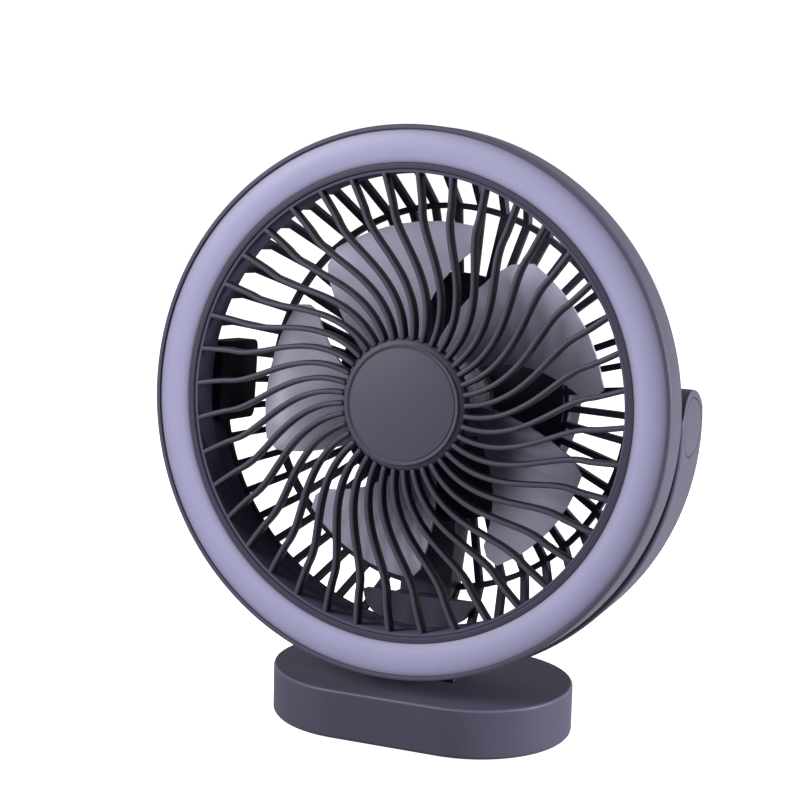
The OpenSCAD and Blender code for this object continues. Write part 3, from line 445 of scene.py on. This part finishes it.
def makeRim():
    piece = spinRound("rimShell", [
        [rim["ringOut"], 0], [rim["outer"] - rim["frontEdge"], 0], [rim["outer"], rim["frontEdge"]],
        [rim["outer"], rim["depth"]], [rim["ringOut"], rim["depth"]],
        [rim["ringOut"], rim["channelBack"]], [rim["ringIn"], rim["channelBack"]],
        [rim["ringIn"], rim["lipBack"]], [rim["opening"], rim["lipBack"]],
        [rim["opening"], rim["lipFront"] + rim["lipEdge"]],
        [rim["opening"] + rim["lipEdge"], rim["lipFront"]],
        [rim["ringIn"], rim["lipFront"]], [rim["ringIn"], rim["channel"]],
        [rim["ringOut"], rim["channel"]]], 256)
    softenEdges(piece, rim["soft"], 3)
    lip = facesWhere(piece, lambda face: face.center.xy.length < (rim["ringIn"] + 0.01) * mm)
    standUp(piece)
    finishPiece(smoothPiece(piece), "head", paint["shell"], ["front_bezel"])
    # the lip round the grille is painted darker, as shade
    paintFaces(piece, paint["lip"], lip)


# ---- the milky ring in front of the light

lightRing = {"inner": 80.0, "outer": 90.8, "edge": 0.75, "crown": 0.85, "wall": 1.4, "back": 6.4,
             "skirt": 1.5, "steps": 20}


def makeLightRing():
    inner, outer, steps = lightRing["inner"], lightRing["outer"], lightRing["steps"]
    face = [[inner + (outer - inner) * i / steps,
             lightRing["edge"] - lightRing["crown"] * sin(pi * i / steps) ** 0.8] for i in range(steps + 1)]
    skirt, back, roof = lightRing["skirt"], lightRing["back"], lightRing["edge"] + lightRing["wall"]
    piece = spinRound("lightRing", face + [
        [outer, back], [outer - skirt, back], [outer - skirt, roof], [inner + skirt, roof],
        [inner + skirt, back], [inner, back]], 256)
    standUp(piece)
    finishPiece(smoothPiece(piece, 40), "head", paint["ring"], ["led_diffuser"])


# ---- front grille: curved bars between the hub dish and the lip

grille = {"count": 40, "width": 1.8, "height": 4.4, "front": 1.0, "root": 21.6, "bend": 66.0,
          "start": 4.3, "sweep": 21.1, "drift": 0.15, "end": 77.3, "round": 0.75, "steps": 26}
hubDish = {"seat": 19.4, "floor": 2.4, "rim": 1.2, "rimOut": 20.5, "slope": 21.6, "slopeDepth": 1.7,
           "outer": 22.4, "outerFront": 2.6, "inner": 20.4, "under": 4.4, "behind": 0.2, "soft": 0.3}
grilleRing = {"inner": 76.7, "front": 1.2, "outer": 77.7, "step": 9.6, "flange": 79.8, "back": 11.9,
              "wallFrom": 76.4, "soft": 0.15}


def barAngle(r):
    share = min(1, max(0, (r - grille["root"]) / (grille["bend"] - grille["root"])))
    return (grille["start"] + grille["sweep"] * share * share * (3 - 2 * share)
            + grille["drift"] * max(0, r - grille["bend"]))


def makeBars():
    steps = grille["steps"]
    path = []
    for i in range(steps + 1):
        r = grille["root"] + (grille["end"] - grille["root"]) * i / steps
        turn = radians(barAngle(r))
        path.append((r * cos(turn), r * sin(turn), -grille["front"]))
    bars = drawPath("frontGrille", path)
    bpy.ops.mesh.select_all(action="SELECT")
    bpy.ops.mesh.extrude_edges_move(TRANSFORM_OT_translate={"value": (0, 0, -grille["height"] * mm)})
    leaveEdit()
    cleanUp(bars)
    addModifier(bars, "SOLIDIFY", thickness=grille["width"] * mm, offset=0, use_even_offset=True)
    cleanUp(bars)
    softenEdges(bars, grille["round"], 3, 50)
    return repeatRound(bars, grille["count"])


def makeHubDish():
    dish = hubDish
    back = grille["front"] + grille["height"] + dish["behind"]
    piece = spinRound("hubDish", [
        [0, dish["floor"]], [dish["seat"], dish["floor"]], [dish["seat"], dish["rim"]],
        [dish["rimOut"], dish["rim"]], [dish["slope"], dish["slopeDepth"]],
        [dish["outer"], dish["outerFront"]], [dish["outer"], back], [dish["inner"], back],
        [dish["inner"], dish["under"]], [0, dish["under"]]], 180)
    return softenEdges(piece, dish["soft"], 3)


def makeGrilleRing():
    ring = grilleRing
    piece = spinRound("grilleRing", [
        [ring["inner"], ring["front"]], [ring["outer"], ring["front"]], [ring["outer"], ring["step"]],
        [ring["flange"], ring["step"]], [ring["flange"], ring["back"]],
        [ring["inner"], ring["back"]]], 256)
    return softenEdges(piece, ring["soft"], 2)


def makeGrille():
    piece = joinPieces("frontGrille", [makeBars(), makeHubDish(), makeGrilleRing()])
    wall = facesWhere(piece, lambda face: face.center.xy.length > grilleRing["wallFrom"] * mm)
    standUp(piece)
    finishPiece(smoothPiece(piece, 40), "head", paint["bars"], ["front_grille"])
    # the grille ring's inner wall takes the dull inner plastic, tuned to the shade inside the barrel
    paintFaces(piece, paint["inner"], wall)


# ---- plain disc on the hub, with a thin raised edge and a shallow step inside it

hubDisc = {"radius": 20.2, "edgeWidth": 0.5, "face": 0.55, "edge": 0.3, "back": 1.2,
           "stepAt": 18.7, "stepDepth": 0.3, "stepWidth": 0.6, "stepSlope": 0.15,
           "plug": 19.3, "plugBack": 2.4, "soft": 0.06}


def makeHubDisc():
    disc = hubDisc
    r, face, edge, step = disc["radius"], disc["face"], disc["edge"], disc["stepAt"]
    low, slope, stepEnd = face + disc["stepDepth"], disc["stepSlope"], step + disc["stepWidth"]
    edgeStart = r - disc["edgeWidth"]
    piece = spinRound("hubDisc", [
        [0, face], [step, face], [step + slope, low], [stepEnd - slope, low], [stepEnd, face],
        [edgeStart - 0.2, face], [edgeStart, edge], [r - 0.1, edge], [r, edge + slope],
        [r, disc["back"]], [disc["plug"], disc["back"]], [disc["plug"], disc["plugBack"]],
        [0, disc["plugBack"]]], 180)
    softenEdges(piece, disc["soft"], 2, 20)
    standUp(piece)
    finishPiece(smoothPiece(piece), "head", paint["disc"], ["hub_cap"])


makeRim()
makeLightRing()
makeGrille()
makeHubDisc()
print("face of the head ready")


# ---- pieces that keep the construction's own form, with their moulded edges rounded

softened = [
    {"name": "baseShell", "node": "base_shell", "edge": 0.3, "body": "stand", "paint": "base"},
    {"name": "supportArm", "node": "bracket_arm", "edge": 0.35, "body": "stand", "paint": "shell"},
    {"name": "pivotCovers", "node": "pivot_caps", "edge": 0.25, "body": "stand", "paint": "shell"},
    {"name": "barrel", "node": "rear_housing", "edge": 0.2, "body": "head", "paint": "inner"},
    # the battery housing is painted dark as shadow
    {"name": "batteryHousing", "node": "battery_housing", "edge": 0.35, "body": "head", "paint": "paintedShadow"},
    {"name": "rearCover", "node": "rear_cover", "edge": 0.2, "body": "head", "paint": "shell"},
    {"name": "cableDuct", "node": "wire_duct", "edge": 0.3, "body": "head", "paint": "shell"},
    {"name": "fanBlades", "node": "impeller", "edge": 0, "body": "impeller", "paint": "blade"},
]
for look in softened:
    piece = copyOfNode(look["name"], look["node"], look["edge"])
    finishPiece(piece, look["body"], paint[look["paint"]],
                [look["node"]])

# painted highlight: the base's upper edge is painted in a lighter plastic where it catches the light
baseEdgeHighlight = {"from": 16.5, "level": 0.35, "steep": 0.93}
base = bpy.data.objects["baseShell"]
paintFaces(base, paint["edge"], facesWhere(base, lambda face: (
    face.center.z > baseEdgeHighlight["from"] * mm and baseEdgeHighlight["level"] < face.normal.z < baseEdgeHighlight["steep"])))

# painted shadow: the neck under the arm is painted dark where it sits in shade
neckTop = 21.0
arm = bpy.data.objects["supportArm"]
paintFaces(arm, paint["paintedShadow"], facesWhere(arm, lambda face: face.center.z < neckTop * mm))

# painted shade: the two pivot boxes inside the barrel are painted darker than its wall, and so is its
# outside, where shadow falls
pivotBox = {"inside": 78.3, "halfHeight": 14.3, "front": 12.0}
barrelOutside = 80.2
toHead = (Matrix.Rotation(radians(head["tilt"] - 90), 4, "X")
          @ Matrix.Translation((0, 0, -head["pivotHeight"] * mm)))


def isOutside(face):
    return (toHead @ face.center / mm).xy.length > barrelOutside


def isPivotBox(face):
    place = toHead @ face.center / mm
    return (place.xy.length < pivotBox["inside"] and abs(place.y) < pivotBox["halfHeight"]
            and head["pivotDepth"] - place.z > pivotBox["front"])


barrel = bpy.data.objects["barrel"]
paintFaces(barrel, paint["paintedRecessShade"], facesWhere(barrel, isPivotBox))
paintFaces(barrel, paint["paintedShadow"], facesWhere(barrel, isOutside))
print("moulded pieces ready")


# ---- stage

stageLook = {"azimuth": 22.97, "elevation": 11.22, "roll": 1.41, "distance": 719.5,
             "lens": 97.77, "aim": (0, -24.77, 116.76), "shift": (-0.001, 0.0061)}


def setCamera(look):
    turn, rise = radians(look["azimuth"]), radians(look["elevation"])
    back = Vector((sin(turn) * cos(rise), -cos(turn) * cos(rise), sin(rise)))
    spin = (Matrix.Rotation(turn, 3, "Z") @ Matrix.Rotation(pi / 2 - rise, 3, "X")
            @ Matrix.Rotation(radians(look["roll"]), 3, "Z"))
    place = (Vector(look["aim"]) + back * look["distance"]) * mm
    bpy.ops.object.camera_add(location=place, rotation=spin.to_euler())
    camera = nameIt(bpy.context.object, "camera")
    camera.data.lens = look["lens"]
    camera.data.sensor_width = 36
    camera.data.shift_x, camera.data.shift_y = look["shift"]
    camera.data.clip_start = 0.01
    camera.data.clip_end = 900
    bpy.context.scene.camera = camera


lamps = [
    {"name": "keyRight", "place": (1.30, 0.14, 0.30), "size": (0.35, 0.5), "power": 28},
    {"name": "softFront", "place": (-0.65, -0.82, 0.62), "size": (0.5, 0.5), "power": 14},
    {"name": "overhead", "place": (0.0, -0.2, 1.8), "size": (1.4, 1.4), "power": 3},
]


def addLamp(lamp):
    place = Vector(lamp["place"])
    aim = Vector(lampAim) - place
    bpy.ops.object.light_add(type="AREA", location=place, rotation=aim.to_track_quat("-Z", "Y").to_euler())
    light = nameIt(bpy.context.object, lamp["name"])
    light.data.shape = "RECTANGLE"
    light.data.size, light.data.size_y = lamp["size"]
    light.data.energy = lamp["power"]


stageGlow = {"floorSeen": 0.9, "floorBounce": 0.25, "worldSeen": 1.0, "worldFill": 0.10,
             "mirrored": 0.45}
lampAim = (0, 0, 0.11)


def seenOrNot(tree, seen, other):
    # strong where the stage is looked at, less where it is mirrored, least in the light it gives
    path = tree.nodes.new("ShaderNodeLightPath")
    mirrored = tree.nodes.new("ShaderNodeMath")
    mirrored.operation = "MULTIPLY"
    mirrored.inputs[1].default_value = stageGlow["mirrored"]
    tree.links.new(path.outputs["Is Glossy Ray"], mirrored.inputs[0])
    either = tree.nodes.new("ShaderNodeMath")
    either.operation = "MAXIMUM"
    tree.links.new(path.outputs["Is Camera Ray"], either.inputs[0])
    tree.links.new(mirrored.outputs["Value"], either.inputs[1])
    spread = tree.nodes.new("ShaderNodeMapRange")
    spread.inputs["To Min"].default_value = other
    spread.inputs["To Max"].default_value = seen
    tree.links.new(either.outputs["Value"], spread.inputs["Value"])
    return spread.outputs["Result"]


def addStage():
    deselectAll()
    bpy.ops.mesh.primitive_plane_add(size=600)
    floor = nameIt(bpy.context.object, "floor")
    material, tree, shader, place = newFinish("paperFloor")
    paper = addRamp(tree, addNoise(tree, place, 3), (0.93, 0.93, 0.94), (0.95, 0.95, 0.96))
    shade = tree.nodes.new("ShaderNodeMix")
    shade.data_type = "RGBA"
    shade.inputs["A"].default_value = (0, 0, 0, 1)
    tree.links.new(seenOrNot(tree, 1.0, stageGlow["floorBounce"]), shade.inputs["Factor"])
    tree.links.new(paper, shade.inputs["B"])
    tree.links.new(shade.outputs["Result"], shader.inputs["Base Color"])
    shader.inputs["Roughness"].default_value = 0.85
    shader.inputs["Emission Color"].default_value = (1, 1, 1, 1)
    tree.links.new(seenOrNot(tree, stageGlow["floorSeen"], 0), shader.inputs["Emission Strength"])
    floor.data.materials.append(material)
    world = bpy.data.worlds.new("studio")
    world.use_nodes = True
    sky = world.node_tree.nodes["Background"]
    sky.inputs["Color"].default_value = (1.0, 1.0, 1.0, 1)
    world.node_tree.links.new(seenOrNot(world.node_tree, stageGlow["worldSeen"], stageGlow["worldFill"]),
                              sky.inputs["Strength"])
    bpy.context.scene.world = world
    for lamp in lamps:
        addLamp(lamp)


setCamera(stageLook)
addStage()
bpy.context.scene.view_settings.view_transform = "Standard"
print("stage ready")
